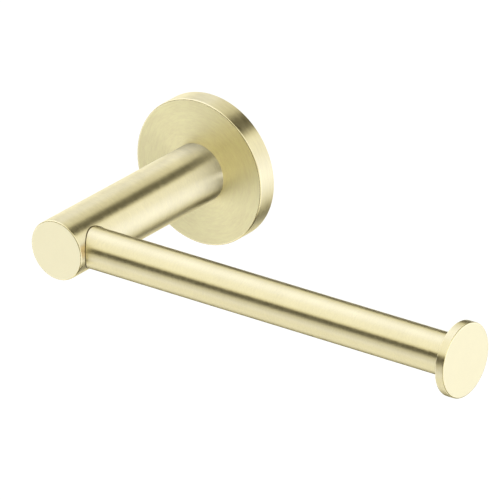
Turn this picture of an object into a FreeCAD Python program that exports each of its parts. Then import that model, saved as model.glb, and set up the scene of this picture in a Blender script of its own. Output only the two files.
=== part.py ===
"""Wall-mounted toilet paper holder: a round rose, a straight post and a sideways arm with an end disc.

FreeCAD macro, in millimetres, +Z up. The origin is the centre of the mounting face. The wall is the
plane Y = 0, the post stands out of it along -Y, and the arm points along +X, parallel to the wall.

The rose is a shallow turned cup. It drops over a round wall bracket, and a set screw under the rose
bears in a groove round the bracket and draws the rose against the wall. The post is solid bar. A
button-head screw inside the rose holds it, and a dowel stops it turning. The arm is a tube with a
saddle cut into one end to fit the post. A tie rod runs down the tube from the post to the end disc,
so that turning the disc clamps the tube between disc and post. Threads are plain cylinders of the
nominal diameter.
"""

import FreeCAD, Part
import math
import os

import Sketcher

DRIVING_SIZES = [
    # alias, millimetres (or degrees), what it is
    ("projection", 81.0, "wall to the front face of the post"),
    ("arm_reach", 150.7, "post axis to the outer face of the end disc"),
    ("rose_diameter", 50.0, "rose, across"),
    ("rose_depth", 7.25, "rose, wall to front face"),
    ("rose_rim_wall", 3.0, "wall of the rose's rim"),
    ("rose_face_wall", 2.75, "wall of the rose's face"),
    ("rose_edge_round", 0.5, "round on the rose's front edge"),
    ("rose_back_chamfer", 0.25, "chamfer on the rose's back edge"),
    ("post_diameter", 20.0, "post bar"),
    ("post_edge_round", 0.4, "round on the post's front edge"),
    ("arm_diameter", 13.5, "arm tube, outside"),
    ("arm_tube_wall", 1.5, "arm tube, wall"),
    ("arm_setback", 8.75, "post's front face to the arm's axis"),
    ("disc_diameter", 24.0, "end disc, across"),
    ("disc_thickness", 3.2, "end disc, thickness"),
    ("disc_edge_round", 0.4, "round on both edges of the end disc"),
    ("disc_spigot_length", 8.0, "end disc's spigot inside the arm tube"),
    ("bush_length", 12.0, "threaded bush at the post end of the tube"),
    ("bush_seat_depth", 2.0, "counterbore in the side of the post for the bush"),
    ("bush_slot_width", 1.2, "driver slot across the bush's outer end"),
    ("bush_slot_depth", 1.0, "driver slot, depth"),
    ("tie_rod_thread", 6.0, "M6 tie rod, thread"),
    ("tie_rod_shank", 5.2, "tie rod between its threads"),
    ("tie_rod_thread_length", 24.0, "thread at each end of the tie rod"),
    ("tie_rod_in_post", 9.5, "tie rod, thread inside the post"),
    ("tie_rod_in_disc", 7.0, "tie rod, thread inside the end disc"),
    ("sliding_gap", 0.05, "radial gap of a bush or spigot in the tube"),
    ("clearance_gap", 0.25, "radial gap where a screw or rod passes"),
    ("bracket_gap", 0.25, "radial gap between bracket and rose"),
    ("bracket_front_gap", 0.4, "between the bracket's rim and the rose's inner face"),
    ("bracket_ring_wall", 3.0, "wall of the bracket's ring"),
    ("bracket_web", 1.5, "web of the bracket, under the screw heads"),
    ("bracket_centre_hole", 14.0, "hole in the bracket round the post screw"),
    ("groove_depth", 1.1, "groove round the bracket, depth"),
    ("groove_floor", 0.6, "groove round the bracket, width of its floor"),
    ("wall_slot_land", 1.75, "web between a wall screw slot and the bracket's ring"),
    ("wall_slot_length", 8.0, "wall screw slot, end to end"),
    ("wall_slot_width", 4.5, "wall screw slot, width"),
    ("set_screw_thread", 4.0, "M4 set screw, thread"),
    ("set_screw_inset", 0.25, "set screw's socket end, below the rose's rim"),
    ("set_screw_lead", 0.3, "set screw's axis, in front of the groove's middle"),
    ("set_screw_point", 0.2, "flat on the set screw's cone point"),
    ("set_screw_key", 2.0, "hex key for the set screw, across flats"),
    ("set_screw_key_depth", 1.6, "depth of the set screw's socket"),
    ("post_screw_thread", 5.0, "M5 button-head screw, thread"),
    ("post_screw_length", 12.0, "M5 button-head screw, under the head"),
    ("post_screw_head", 9.5, "M5 button-head screw, head"),
    ("post_screw_head_flat", 5.2, "flat on top of the button head"),
    ("post_screw_head_height", 2.75, "button head, height"),
    ("post_screw_head_edge", 0.8, "straight edge of the button head"),
    ("post_screw_key", 3.0, "hex key for the post screw, across flats"),
    ("post_screw_key_depth", 1.6, "depth of the post screw's socket"),
    ("washer_diameter", 10.0, "washer under the button head"),
    ("washer_thickness", 1.0, "washer, thickness"),
    ("dowel_diameter", 3.0, "dowel between rose and post"),
    ("dowel_length", 5.0, "dowel, length"),
    ("dowel_in_rose", 2.0, "dowel, length inside the rose"),
    ("dowel_offset", 6.5, "dowel, above the post's axis"),
    ("hole_run_out", 1.0, "blind hole past the end of its screw or pin"),
    ("lead_chamfer", 0.4, "chamfer on the ends of screws, bushes and pins"),
]

DRILL_POINT_DEGREES = 118.0
AROUND_X = FreeCAD.Rotation(FreeCAD.Vector(1, 0, 0), 90)
AROUND_Y = FreeCAD.Rotation(FreeCAD.Vector(0, 1, 0), 90)
UPRIGHT = FreeCAD.Rotation()

# Sizes worked out from the driving ones, as expressions on the sheet.
ROSE_RADIUS = "sizes.rose_diameter / 2"
ROSE_BORE = f"({ROSE_RADIUS} - sizes.rose_rim_wall)"
ROSE_CAVITY = "(sizes.rose_depth - sizes.rose_face_wall)"
POST_RADIUS = "sizes.post_diameter / 2"
ARM_RADIUS = "sizes.arm_diameter / 2"
ARM_BORE = f"({ARM_RADIUS} - sizes.arm_tube_wall)"
ARM_DEPTH = "(sizes.projection - sizes.arm_setback)"
ARM_END = "(sizes.arm_reach - sizes.disc_thickness)"
INSERT_RADIUS = f"({ARM_BORE} - sizes.sliding_gap)"
BUSH_SEAT = f"({POST_RADIUS} - sizes.bush_seat_depth)"
SPIGOT_START = f"({ARM_END} - sizes.disc_spigot_length)"
ROD_RADIUS = "sizes.tie_rod_thread / 2"
ROD_START = f"({BUSH_SEAT} - sizes.tie_rod_in_post)"
ROD_END = f"({SPIGOT_START} + sizes.tie_rod_in_disc)"
BRACKET_RADIUS = f"({ROSE_BORE} - sizes.bracket_gap)"
BRACKET_RING_BORE = f"({BRACKET_RADIUS} - sizes.bracket_ring_wall)"
BRACKET_DEPTH = f"({ROSE_CAVITY} - sizes.bracket_front_gap)"
WALL_SLOT_PLACE = f"({BRACKET_RING_BORE} - sizes.wall_slot_land - sizes.wall_slot_length / 2)"
GROOVE_RADIUS = f"({BRACKET_RADIUS} - sizes.groove_depth)"
GROOVE_HEIGHT = f"({BRACKET_DEPTH} / 2)"
SET_SCREW_HEIGHT = f"({GROOVE_HEIGHT} + sizes.set_screw_lead)"
SET_SCREW_POINT_RADIUS = "sizes.set_screw_point / 2"
# Cone and groove both slope at 45 degrees, so the cone meets the groove's front flank here.
SET_SCREW_TIP = (
    f"({GROOVE_RADIUS} + sizes.set_screw_lead + {SET_SCREW_POINT_RADIUS} - sizes.groove_floor / 2)"
)
SET_SCREW_OUTER_END = f"({ROSE_RADIUS} - sizes.set_screw_inset)"
SET_SCREW_LENGTH = f"({SET_SCREW_OUTER_END} - {SET_SCREW_TIP})"
SCREW_HOLE = "(sizes.post_screw_thread / 2 + sizes.clearance_gap)"
WASHER_BACK = f"({ROSE_CAVITY} - sizes.washer_thickness)"
POST_SCREW_IN_POST = f"({WASHER_BACK} + sizes.post_screw_length - sizes.rose_depth)"


def make_sheet(doc):
    """The spreadsheet that drives every size."""
    sheet = doc.addObject("Spreadsheet::Sheet", "sizes")
    for row, (alias, value, meaning) in enumerate(DRIVING_SIZES, start=1):
        sheet.set(f"A{row}", alias)
        sheet.set(f"B{row}", str(value))
        sheet.setAlias(f"B{row}", alias)
        sheet.set(f"C{row}", meaning)
    doc.recompute()
    return sheet


def make_body(doc, label, rotation=UPRIGHT, base=("0", "0", "0")):
    """An empty body whose place in the holder is driven by the sheet."""
    body = doc.addObject("PartDesign::Body", label)
    body.Label = label
    body.Placement = FreeCAD.Placement(FreeCAD.Vector(), rotation)
    for axis, expression in zip("xyz", base):
        body.setExpression(f"Placement.Base.{axis}", f"({expression}) * 1 mm")
    return body


def origin_plane(body, role):
    """One of the body's own origin planes."""
    return next(f for f in body.Origin.OriginFeatures if f.Role == role)


def make_sketch(body, name, role, offset="0"):
    """A sketch on an origin plane of the body, moved along the plane's normal."""
    sketch = body.newObject("Sketcher::SketchObject", name)
    sketch.AttachmentSupport = [(origin_plane(body, role), "")]
    sketch.MapMode = "FlatFace"
    sketch.setExpression("AttachmentOffset.Base.z", f"({offset}) * 1 mm")
    return sketch


def bind(sketch, index, expression):
    """Drives one dimension of the sketch from the sheet."""
    sketch.setExpression(f"Constraints[{index}]", f"({expression}) * 1 mm")


def place_point(sketch, geometry, end, across, along, guess):
    """Dimensions one point of the sketch from the sketch's origin."""
    for kind, expression, value in (("DistanceX", across, guess.x), ("DistanceY", along, guess.y)):
        index = sketch.addConstraint(Sketcher.Constraint(kind, -1, 1, geometry, end, value))
        bind(sketch, index, expression)


def value_of(sheet, expression):
    """The number that an expression on the sheet gives now."""
    return float(sheet.evalExpression(expression))


def draw_outline(sketch, corners):
    """A closed outline of straight lines through corners given as (across, along) expressions."""
    sheet = sketch.Document.getObject("sizes")
    points = [
        FreeCAD.Vector(value_of(sheet, across), value_of(sheet, along), 0) for across, along in corners
    ]
    count = len(points)
    for number in range(count):
        sketch.addGeometry(Part.LineSegment(points[number], points[(number + 1) % count]))
    for number in range(count):
        sketch.addConstraint(Sketcher.Constraint("Coincident", number, 2, (number + 1) % count, 1))
        place_point(sketch, number, 1, *corners[number], points[number])


def draw_circle(sketch, radius, across="0", along="0"):
    """A circle whose radius and centre are driven by the sheet."""
    sheet = sketch.Document.getObject("sizes")
    centre = FreeCAD.Vector(value_of(sheet, across), value_of(sheet, along), 0)
    size = value_of(sheet, radius)
    circle = sketch.addGeometry(Part.Circle(centre, FreeCAD.Vector(0, 0, 1), size))
    index = sketch.addConstraint(Sketcher.Constraint("Radius", circle, size))
    bind(sketch, index, radius)
    place_point(sketch, circle, 3, across, along, centre)


def draw_hexagon(sketch, across_flats):
    """A hexagonal key socket round the sketch's origin."""
    corner = f"({across_flats} / sqrt(3))"
    flat = f"({across_flats} / 2)"
    half = f"({corner} / 2)"
    draw_outline(
        sketch,
        [
            (corner, "0"),
            (half, flat),
            (f"-{half}", flat),
            (f"-{corner}", "0"),
            (f"-{half}", f"-{flat}"),
            (half, f"-{flat}"),
        ],
    )


def draw_slot(sketch, across, length, width):
    """A slot with round ends, lying along the sketch's first axis."""
    sheet = sketch.Document.getObject("sizes")
    middle = value_of(sheet, across)
    radius = value_of(sheet, width) / 2
    reach = value_of(sheet, length) / 2 - radius
    left = FreeCAD.Vector(middle - reach, 0, 0)
    right = FreeCAD.Vector(middle + reach, 0, 0)
    up = FreeCAD.Vector(0, radius, 0)
    normal = FreeCAD.Vector(0, 0, 1)
    quarter = math.pi / 2
    first = sketch.addGeometry(Part.ArcOfCircle(Part.Circle(right, normal, radius), -quarter, quarter))
    top = sketch.addGeometry(Part.LineSegment(right + up, left + up))
    second = sketch.addGeometry(
        Part.ArcOfCircle(Part.Circle(left, normal, radius), quarter, 3 * quarter)
    )
    bottom = sketch.addGeometry(Part.LineSegment(left - up, right - up))
    joints = ((first, 2, top, 1), (top, 2, second, 1), (second, 2, bottom, 1), (bottom, 2, first, 1))
    for joint in joints:
        sketch.addConstraint(Sketcher.Constraint("Tangent", *joint))
    index = sketch.addConstraint(Sketcher.Constraint("Radius", first, radius))
    bind(sketch, index, f"{width} / 2")
    half_reach = f"({length} - {width}) / 2"
    place_point(sketch, first, 3, f"{across} + {half_reach}", "0", right)
    place_point(sketch, second, 3, f"{across} - {half_reach}", "0", left)


def turn(body, name, corners):
    """A turned shape: the outline (radius, height) carried round the body's Z axis."""
    sketch = make_sketch(body, f"{name}_outline", "XZ_Plane")
    draw_outline(sketch, corners)
    feature = body.newObject("PartDesign::Revolution", name)
    feature.Profile = sketch
    feature.ReferenceAxis = (sketch, ["V_Axis"])
    feature.Angle = 360
    sketch.Visibility = False
    body.Document.recompute()
    return feature


def pad(body, name, sketch, length):
    """Extrudes the sketch along its own normal."""
    feature = body.newObject("PartDesign::Pad", name)
    feature.Profile = sketch
    feature.setExpression("Length", f"({length}) * 1 mm")
    body.Document.recompute()
    return feature


def cut(body, name, sketch, length=None, outwards=False, both_ways=False):
    """Cuts the sketch out of the body, and stops the build if nothing was removed."""
    before = body.Shape.Volume
    feature = body.newObject("PartDesign::Pocket", name)
    feature.Profile = sketch
    if length is None:
        feature.Type = "ThroughAll"
    else:
        feature.setExpression("Length", f"({length}) * 1 mm")
    feature.Reversed = outwards
    feature.Midplane = both_ways
    body.Document.recompute()
    if not body.Shape.Volume < before:
        raise RuntimeError(f"{name} in {body.Label} cuts nothing")
    return feature


def drill(body, name, sketch, diameter, depth, outwards=False):
    """A blind hole with a drill point, one for each circle of the sketch."""
    before = body.Shape.Volume
    feature = body.newObject("PartDesign::Hole", name)
    feature.Profile = sketch
    body.Document.recompute()
    feature.ThreadType = "None"
    feature.DepthType = "Dimension"
    feature.DrillPoint = "Angled"
    feature.DrillPointAngle = DRILL_POINT_DEGREES
    feature.DrillForDepth = False
    feature.Reversed = outwards
    feature.setExpression("Diameter", f"({diameter}) * 1 mm")
    feature.setExpression("Depth", f"({depth}) * 1 mm")
    body.Document.recompute()
    if not body.Shape.Volume < before:
        raise RuntimeError(f"{name} in {body.Label} drills nothing")
    return feature


def edges_at(shape, radius, height, tolerance=1e-4):
    """Names of the circular edges of this radius, at this height on the body's Z axis."""
    found = []
    for number, edge in enumerate(shape.Edges, start=1):
        if not isinstance(edge.Curve, Part.Circle):
            continue
        centre = edge.Curve.Center
        on_axis = math.hypot(centre.x, centre.y) < tolerance
        if on_axis and abs(edge.Curve.Radius - radius) < tolerance and abs(centre.z - height) < tolerance:
            found.append(f"Edge{number}")
    return found


def soften(body, name, kind, radius, height, size):
    """Rounds (Fillet) or bevels (Chamfer) the edge of this radius and height."""
    sheet = body.Document.getObject("sizes")
    base = body.Tip
    names = edges_at(base.Shape, value_of(sheet, radius), value_of(sheet, height))
    if not names:
        raise RuntimeError(f"{name} in {body.Label} finds no edge")
    feature = body.newObject(f"PartDesign::{kind}", name)
    feature.Base = (base, names)
    feature.setExpression("Radius" if kind == "Fillet" else "Size", f"({size}) * 1 mm")
    body.Document.recompute()
    return feature


def make_rose(doc):
    """The cup that covers the bracket, with holes for the post screw, dowel and set screw."""
    body = make_body(doc, "rose", AROUND_X)
    turn(
        body,
        "cup",
        [
            (SCREW_HOLE, "sizes.rose_depth"),
            (SCREW_HOLE, ROSE_CAVITY),
            (ROSE_BORE, ROSE_CAVITY),
            (ROSE_BORE, "0"),
            (ROSE_RADIUS, "0"),
            (ROSE_RADIUS, "sizes.rose_depth"),
        ],
    )
    dowel_hole = make_sketch(body, "dowel_hole_circle", "XY_Plane", "sizes.rose_depth")
    draw_circle(dowel_hole, "sizes.dowel_diameter / 2", "0", "sizes.dowel_offset")
    cut(body, "dowel_hole", dowel_hole, "sizes.dowel_in_rose")
    set_screw_hole = make_sketch(body, "set_screw_circle", "XZ_Plane")
    draw_circle(set_screw_hole, "sizes.set_screw_thread / 2", "0", SET_SCREW_HEIGHT)
    cut(body, "set_screw_hole", set_screw_hole, ROSE_RADIUS, outwards=True)
    soften(body, "front_edge", "Fillet", ROSE_RADIUS, "sizes.rose_depth", "sizes.rose_edge_round")
    soften(body, "back_edge", "Chamfer", ROSE_RADIUS, "0", "sizes.rose_back_chamfer")
    return body


def make_wall_bracket(doc):
    """The round plate screwed to the wall, with the groove that the set screw bears in."""
    body = make_body(doc, "wall_bracket", AROUND_X)
    half_floor = "sizes.groove_floor / 2"
    half_mouth = f"({half_floor} + sizes.groove_depth)"
    turn(
        body,
        "grooved_plate",
        [
            ("sizes.bracket_centre_hole / 2", "0"),
            (BRACKET_RADIUS, "0"),
            (BRACKET_RADIUS, f"{GROOVE_HEIGHT} - {half_mouth}"),
            (GROOVE_RADIUS, f"{GROOVE_HEIGHT} - {half_floor}"),
            (GROOVE_RADIUS, f"{GROOVE_HEIGHT} + {half_floor}"),
            (BRACKET_RADIUS, f"{GROOVE_HEIGHT} + {half_mouth}"),
            (BRACKET_RADIUS, BRACKET_DEPTH),
            (BRACKET_RING_BORE, BRACKET_DEPTH),
            (BRACKET_RING_BORE, "sizes.bracket_web"),
            ("sizes.bracket_centre_hole / 2", "sizes.bracket_web"),
        ],
    )
    for side, sign in (("right", ""), ("left", "-")):
        slot = make_sketch(body, f"{side}_slot_outline", "XY_Plane", "sizes.bracket_web")
        draw_slot(slot, f"{sign}{WALL_SLOT_PLACE}", "sizes.wall_slot_length", "sizes.wall_slot_width")
        cut(body, f"{side}_slot", slot)
    return body


def make_set_screw(doc):
    """The cone-point set screw under the rose, point upwards, with its key socket below."""
    base = ("0", f"-{SET_SCREW_HEIGHT}", f"-{SET_SCREW_OUTER_END}")
    body = make_body(doc, "rose_set_screw", UPRIGHT, base)
    radius = "sizes.set_screw_thread / 2"
    turn(
        body,
        "cone_point_screw",
        [
            ("0", "0"),
            (f"{radius} - sizes.lead_chamfer", "0"),
            (radius, "sizes.lead_chamfer"),
            (radius, f"{SET_SCREW_LENGTH} - ({radius} - {SET_SCREW_POINT_RADIUS})"),
            (SET_SCREW_POINT_RADIUS, SET_SCREW_LENGTH),
            ("0", SET_SCREW_LENGTH),
        ],
    )
    socket = make_sketch(body, "socket_outline", "XY_Plane")
    draw_hexagon(socket, "sizes.set_screw_key")
    cut(body, "socket", socket, "sizes.set_screw_key_depth", outwards=True)
    return body


def make_post(doc):
    """The solid bar between rose and arm, drilled for the post screw, dowel, tie rod and bush."""
    body = make_body(doc, "post", AROUND_X, ("0", "-sizes.rose_depth", "0"))
    length = "(sizes.projection - sizes.rose_depth)"
    end = make_sketch(body, "bar_circle", "XY_Plane")
    draw_circle(end, POST_RADIUS)
    pad(body, "bar", end, length)
    soften(body, "front_edge", "Fillet", POST_RADIUS, length, "sizes.post_edge_round")

    screw_hole = make_sketch(body, "screw_hole_circle", "XY_Plane")
    draw_circle(screw_hole, "sizes.post_screw_thread / 2")
    screw_depth = f"{POST_SCREW_IN_POST} + sizes.hole_run_out"
    drill(body, "screw_hole", screw_hole, "sizes.post_screw_thread", screw_depth, outwards=True)
    dowel_hole = make_sketch(body, "dowel_hole_circle", "XY_Plane")
    draw_circle(dowel_hole, "sizes.dowel_diameter / 2", "0", "sizes.dowel_offset")
    dowel_depth = "sizes.dowel_length - sizes.dowel_in_rose + sizes.hole_run_out"
    cut(body, "dowel_hole", dowel_hole, dowel_depth, outwards=True)

    arm_height = f"({ARM_DEPTH} - sizes.rose_depth)"
    seat = make_sketch(body, "bush_seat_circle", "YZ_Plane", BUSH_SEAT)
    draw_circle(seat, ARM_BORE, "0", arm_height)
    cut(body, "bush_seat", seat, POST_RADIUS, outwards=True)
    rod_hole = make_sketch(body, "tie_rod_circle", "YZ_Plane", BUSH_SEAT)
    draw_circle(rod_hole, ROD_RADIUS, "0", arm_height)
    rod_depth = "sizes.tie_rod_in_post + sizes.hole_run_out"
    drill(body, "tie_rod_hole", rod_hole, "sizes.tie_rod_thread", rod_depth)
    return body


def make_post_screw(doc):
    """The button-head screw that pulls the post against the rose from behind."""
    body = make_body(doc, "post_screw", AROUND_X, ("0", f"-{WASHER_BACK}", "0"))
    shank = "sizes.post_screw_thread / 2"
    turn(
        body,
        "button_head_screw",
        [
            ("0", "-sizes.post_screw_head_height"),
            ("sizes.post_screw_head_flat / 2", "-sizes.post_screw_head_height"),
            ("sizes.post_screw_head / 2", "-sizes.post_screw_head_edge"),
            ("sizes.post_screw_head / 2", "0"),
            (shank, "0"),
            (shank, "sizes.post_screw_length - sizes.lead_chamfer"),
            (f"{shank} - sizes.lead_chamfer", "sizes.post_screw_length"),
            ("0", "sizes.post_screw_length"),
        ],
    )
    socket = make_sketch(body, "socket_outline", "XY_Plane", "-sizes.post_screw_head_height")
    draw_hexagon(socket, "sizes.post_screw_key")
    cut(body, "socket", socket, "sizes.post_screw_key_depth", outwards=True)
    return body


def make_post_washer(doc):
    """The plain washer between the post screw's head and the rose."""
    body = make_body(doc, "post_washer", AROUND_X, ("0", f"-{ROSE_CAVITY}", "0"))
    turn(
        body,
        "ring",
        [
            (SCREW_HOLE, "-sizes.washer_thickness"),
            ("sizes.washer_diameter / 2", "-sizes.washer_thickness"),
            ("sizes.washer_diameter / 2", "0"),
            (SCREW_HOLE, "0"),
        ],
    )
    return body


def make_post_dowel(doc):
    """The pin that stops the post turning on the rose."""
    base = ("0", "-(sizes.rose_depth - sizes.dowel_in_rose)", "sizes.dowel_offset")
    body = make_body(doc, "post_dowel", AROUND_X, base)
    radius = "sizes.dowel_diameter / 2"
    turn(
        body,
        "pin",
        [
            ("0", "0"),
            (f"{radius} - sizes.lead_chamfer", "0"),
            (radius, "sizes.lead_chamfer"),
            (radius, "sizes.dowel_length - sizes.lead_chamfer"),
            (f"{radius} - sizes.lead_chamfer", "sizes.dowel_length"),
            ("0", "sizes.dowel_length"),
        ],
    )
    return body


def make_arm_tube(doc):
    """The tube that carries the roll, with a saddle cut into its post end."""
    body = make_body(doc, "arm_tube", AROUND_Y, ("0", f"-{ARM_DEPTH}", "0"))
    turn(
        body,
        "tube",
        [
            (ARM_BORE, "0"),
            (ARM_RADIUS, "0"),
            (ARM_RADIUS, ARM_END),
            (ARM_BORE, ARM_END),
        ],
    )
    saddle = make_sketch(body, "saddle_circle", "XZ_Plane")
    draw_circle(saddle, POST_RADIUS)
    cut(body, "saddle", saddle, "sizes.post_diameter", both_ways=True)
    return body


def make_arm_bush(doc):
    """The threaded bush that jams against the post, locks the tie rod and centres the tube."""
    body = make_body(doc, "arm_bush", AROUND_Y, (BUSH_SEAT, f"-{ARM_DEPTH}", "0"))
    turn(
        body,
        "sleeve",
        [
            (ROD_RADIUS, "0"),
            (f"{INSERT_RADIUS} - sizes.lead_chamfer", "0"),
            (INSERT_RADIUS, "sizes.lead_chamfer"),
            (INSERT_RADIUS, "sizes.bush_length - sizes.lead_chamfer"),
            (f"{INSERT_RADIUS} - sizes.lead_chamfer", "sizes.bush_length"),
            (ROD_RADIUS, "sizes.bush_length"),
        ],
    )
    slot = make_sketch(body, "driver_slot_outline", "XY_Plane", "sizes.bush_length")
    reach = ARM_RADIUS
    half_width = "sizes.bush_slot_width / 2"
    draw_outline(
        slot,
        [
            (f"-{reach}", f"-{half_width}"),
            (reach, f"-{half_width}"),
            (reach, half_width),
            (f"-{reach}", half_width),
        ],
    )
    cut(body, "driver_slot", slot, "sizes.bush_slot_depth")
    return body


def make_tie_rod(doc):
    """The rod down the middle of the tube, threaded at both ends."""
    body = make_body(doc, "tie_rod", AROUND_Y, (ROD_START, f"-{ARM_DEPTH}", "0"))
    length = f"({ROD_END} - {ROD_START})"
    shank = "sizes.tie_rod_shank / 2"
    turn(
        body,
        "rod",
        [
            ("0", "0"),
            (f"{ROD_RADIUS} - sizes.lead_chamfer", "0"),
            (ROD_RADIUS, "sizes.lead_chamfer"),
            (ROD_RADIUS, "sizes.tie_rod_thread_length"),
            (shank, "sizes.tie_rod_thread_length"),
            (shank, f"{length} - sizes.tie_rod_thread_length"),
            (ROD_RADIUS, f"{length} - sizes.tie_rod_thread_length"),
            (ROD_RADIUS, f"{length} - sizes.lead_chamfer"),
            (f"{ROD_RADIUS} - sizes.lead_chamfer", length),
            ("0", length),
        ],
    )
    return body


def make_end_disc(doc):
    """The disc that keeps the roll on, with a spigot that fits the tube and takes the tie rod."""
    body = make_body(doc, "end_disc", AROUND_Y, (SPIGOT_START, f"-{ARM_DEPTH}", "0"))
    disc_radius = "sizes.disc_diameter / 2"
    back = "sizes.disc_spigot_length"
    front = "(sizes.disc_spigot_length + sizes.disc_thickness)"
    turn(
        body,
        "disc",
        [
            ("0", "0"),
            (f"{INSERT_RADIUS} - sizes.lead_chamfer", "0"),
            (INSERT_RADIUS, "sizes.lead_chamfer"),
            (INSERT_RADIUS, back),
            (disc_radius, back),
            (disc_radius, front),
            ("0", front),
        ],
    )
    for name, height in (("back_edge", back), ("front_edge", front)):
        soften(body, name, "Fillet", disc_radius, height, "sizes.disc_edge_round")
    rod_hole = make_sketch(body, "tie_rod_circle", "XY_Plane")
    draw_circle(rod_hole, ROD_RADIUS)
    rod_depth = "sizes.tie_rod_in_disc + sizes.hole_run_out"
    drill(body, "tie_rod_hole", rod_hole, "sizes.tie_rod_thread", rod_depth, outwards=True)
    return body


MAKERS = (
    make_rose,
    make_wall_bracket,
    make_set_screw,
    make_post,
    make_post_screw,
    make_post_washer,
    make_post_dowel,
    make_arm_tube,
    make_arm_bush,
    make_tie_rod,
    make_end_disc,
)


def check_document(doc, bodies):
    """Stops the build if any object failed to compute or any sub-part isn't one sound solid."""
    for item in doc.Objects:
        if {"Invalid", "Error"} & set(item.State):
            raise RuntimeError(f"{item.Name} failed: {item.State}")
    for body in bodies:
        shape = body.Shape
        if shape.isNull() or not shape.isValid() or len(shape.Solids) != 1:
            raise RuntimeError(f"{body.Label} isn't one sound solid")


def main():
    """Builds the document and writes each sub-part to parts/NAME.step."""
    doc = FreeCAD.newDocument("toilet_paper_holder")
    make_sheet(doc)
    bodies = [maker(doc) for maker in MAKERS]
    doc.recompute()
    check_document(doc, bodies)
    os.makedirs("parts", exist_ok=True)
    for body in bodies:
        body.Shape.exportStep(os.path.join("parts", f"{body.Label}.step"))
        box = body.Shape.BoundBox
        print(
            f"{body.Label:15s} {body.Shape.Volume:9.1f} mm3"
            f"  x {box.XMin:7.2f} {box.XMax:7.2f}  y {box.YMin:7.2f} {box.YMax:7.2f}"
            f"  z {box.ZMin:7.2f} {box.ZMax:7.2f}"
        )


main()
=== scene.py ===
"""Looks of a wall-mounted toilet paper holder in light brushed gold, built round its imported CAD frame.

The frame is in metres: +Z up, the wall in the plane Y = 0, the post standing out along -Y and the arm
pointing along +X. The four gold pieces are worked out here as numpy surfaces with true rounds, bores
and a brushing direction in their UV map, and each stands for its CAD node. The steel and brass pieces
inside are the CAD nodes themselves, dressed with turned, stamped and plated finishes.
"""

import logging
import math
from dataclasses import dataclass
from enum import Enum
from typing import Any, Mapping, Optional, Sequence, Union

import bpy
import numpy as np
from mathutils import Matrix, Vector


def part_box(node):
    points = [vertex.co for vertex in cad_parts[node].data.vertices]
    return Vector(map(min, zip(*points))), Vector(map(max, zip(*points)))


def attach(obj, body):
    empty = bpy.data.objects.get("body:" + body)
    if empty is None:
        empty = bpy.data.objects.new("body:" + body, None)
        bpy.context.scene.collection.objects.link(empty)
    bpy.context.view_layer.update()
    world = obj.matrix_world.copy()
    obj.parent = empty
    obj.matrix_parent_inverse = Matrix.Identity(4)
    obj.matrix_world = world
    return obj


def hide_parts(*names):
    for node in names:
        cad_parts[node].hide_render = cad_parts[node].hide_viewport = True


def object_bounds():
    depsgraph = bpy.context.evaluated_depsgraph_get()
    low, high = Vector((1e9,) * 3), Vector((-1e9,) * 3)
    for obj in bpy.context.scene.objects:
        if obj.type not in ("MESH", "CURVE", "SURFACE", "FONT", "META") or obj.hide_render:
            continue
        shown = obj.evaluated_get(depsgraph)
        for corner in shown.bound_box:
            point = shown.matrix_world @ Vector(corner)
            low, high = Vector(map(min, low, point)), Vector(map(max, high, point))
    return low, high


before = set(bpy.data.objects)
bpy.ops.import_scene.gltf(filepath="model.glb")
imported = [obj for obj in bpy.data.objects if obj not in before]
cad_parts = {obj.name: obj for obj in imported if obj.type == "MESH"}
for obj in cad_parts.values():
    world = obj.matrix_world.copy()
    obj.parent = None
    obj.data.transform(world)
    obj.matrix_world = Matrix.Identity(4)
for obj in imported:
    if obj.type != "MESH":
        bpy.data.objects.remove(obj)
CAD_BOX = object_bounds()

LOG = logging.getLogger("roll_holder")
MM = 0.001
BODY = "root"
BRUSHING = "brushing"
AROUND = 320
ARC_STEP = math.radians(9.0)
SUPPORT = 0.05 * MM
SHARP_ANGLE = math.radians(28.0)


# ---------------------------------------------------------------------------------------------------
# Surfaces
# ---------------------------------------------------------------------------------------------------


@dataclass(frozen=True)
class Corner:
    """A corner of an outline: its distance from the axis, its place along the axis, and its round."""

    radius: float
    along: float
    round: float = 0.0


@dataclass(frozen=True)
class Lathe:
    """The axis that a piece is turned about: where along = 0 lies, its direction, and angle zero."""

    origin: Vector
    axis: Vector
    zero: Vector

    def place(self, radius: np.ndarray, along: np.ndarray, angle: np.ndarray) -> np.ndarray:
        """Turns lathe coordinates into points of the frame.

        A point is origin + along * axis + radius * (cos(angle) * zero + sin(angle) * side), where
        side is the axis crossed with zero.

        Args:
            radius: Distances from the axis.
            along: Places along the axis.
            angle: Turns about the axis from zero, in radians.

        Returns:
            An array of points whose last dimension is x, y, z.
        """
        side = np.array(self.axis.cross(self.zero))
        out = np.cos(angle)[..., None] * np.array(self.zero) + np.sin(angle)[..., None] * side
        return np.array(self.origin) + along[..., None] * np.array(self.axis) + radius[..., None] * out


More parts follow.
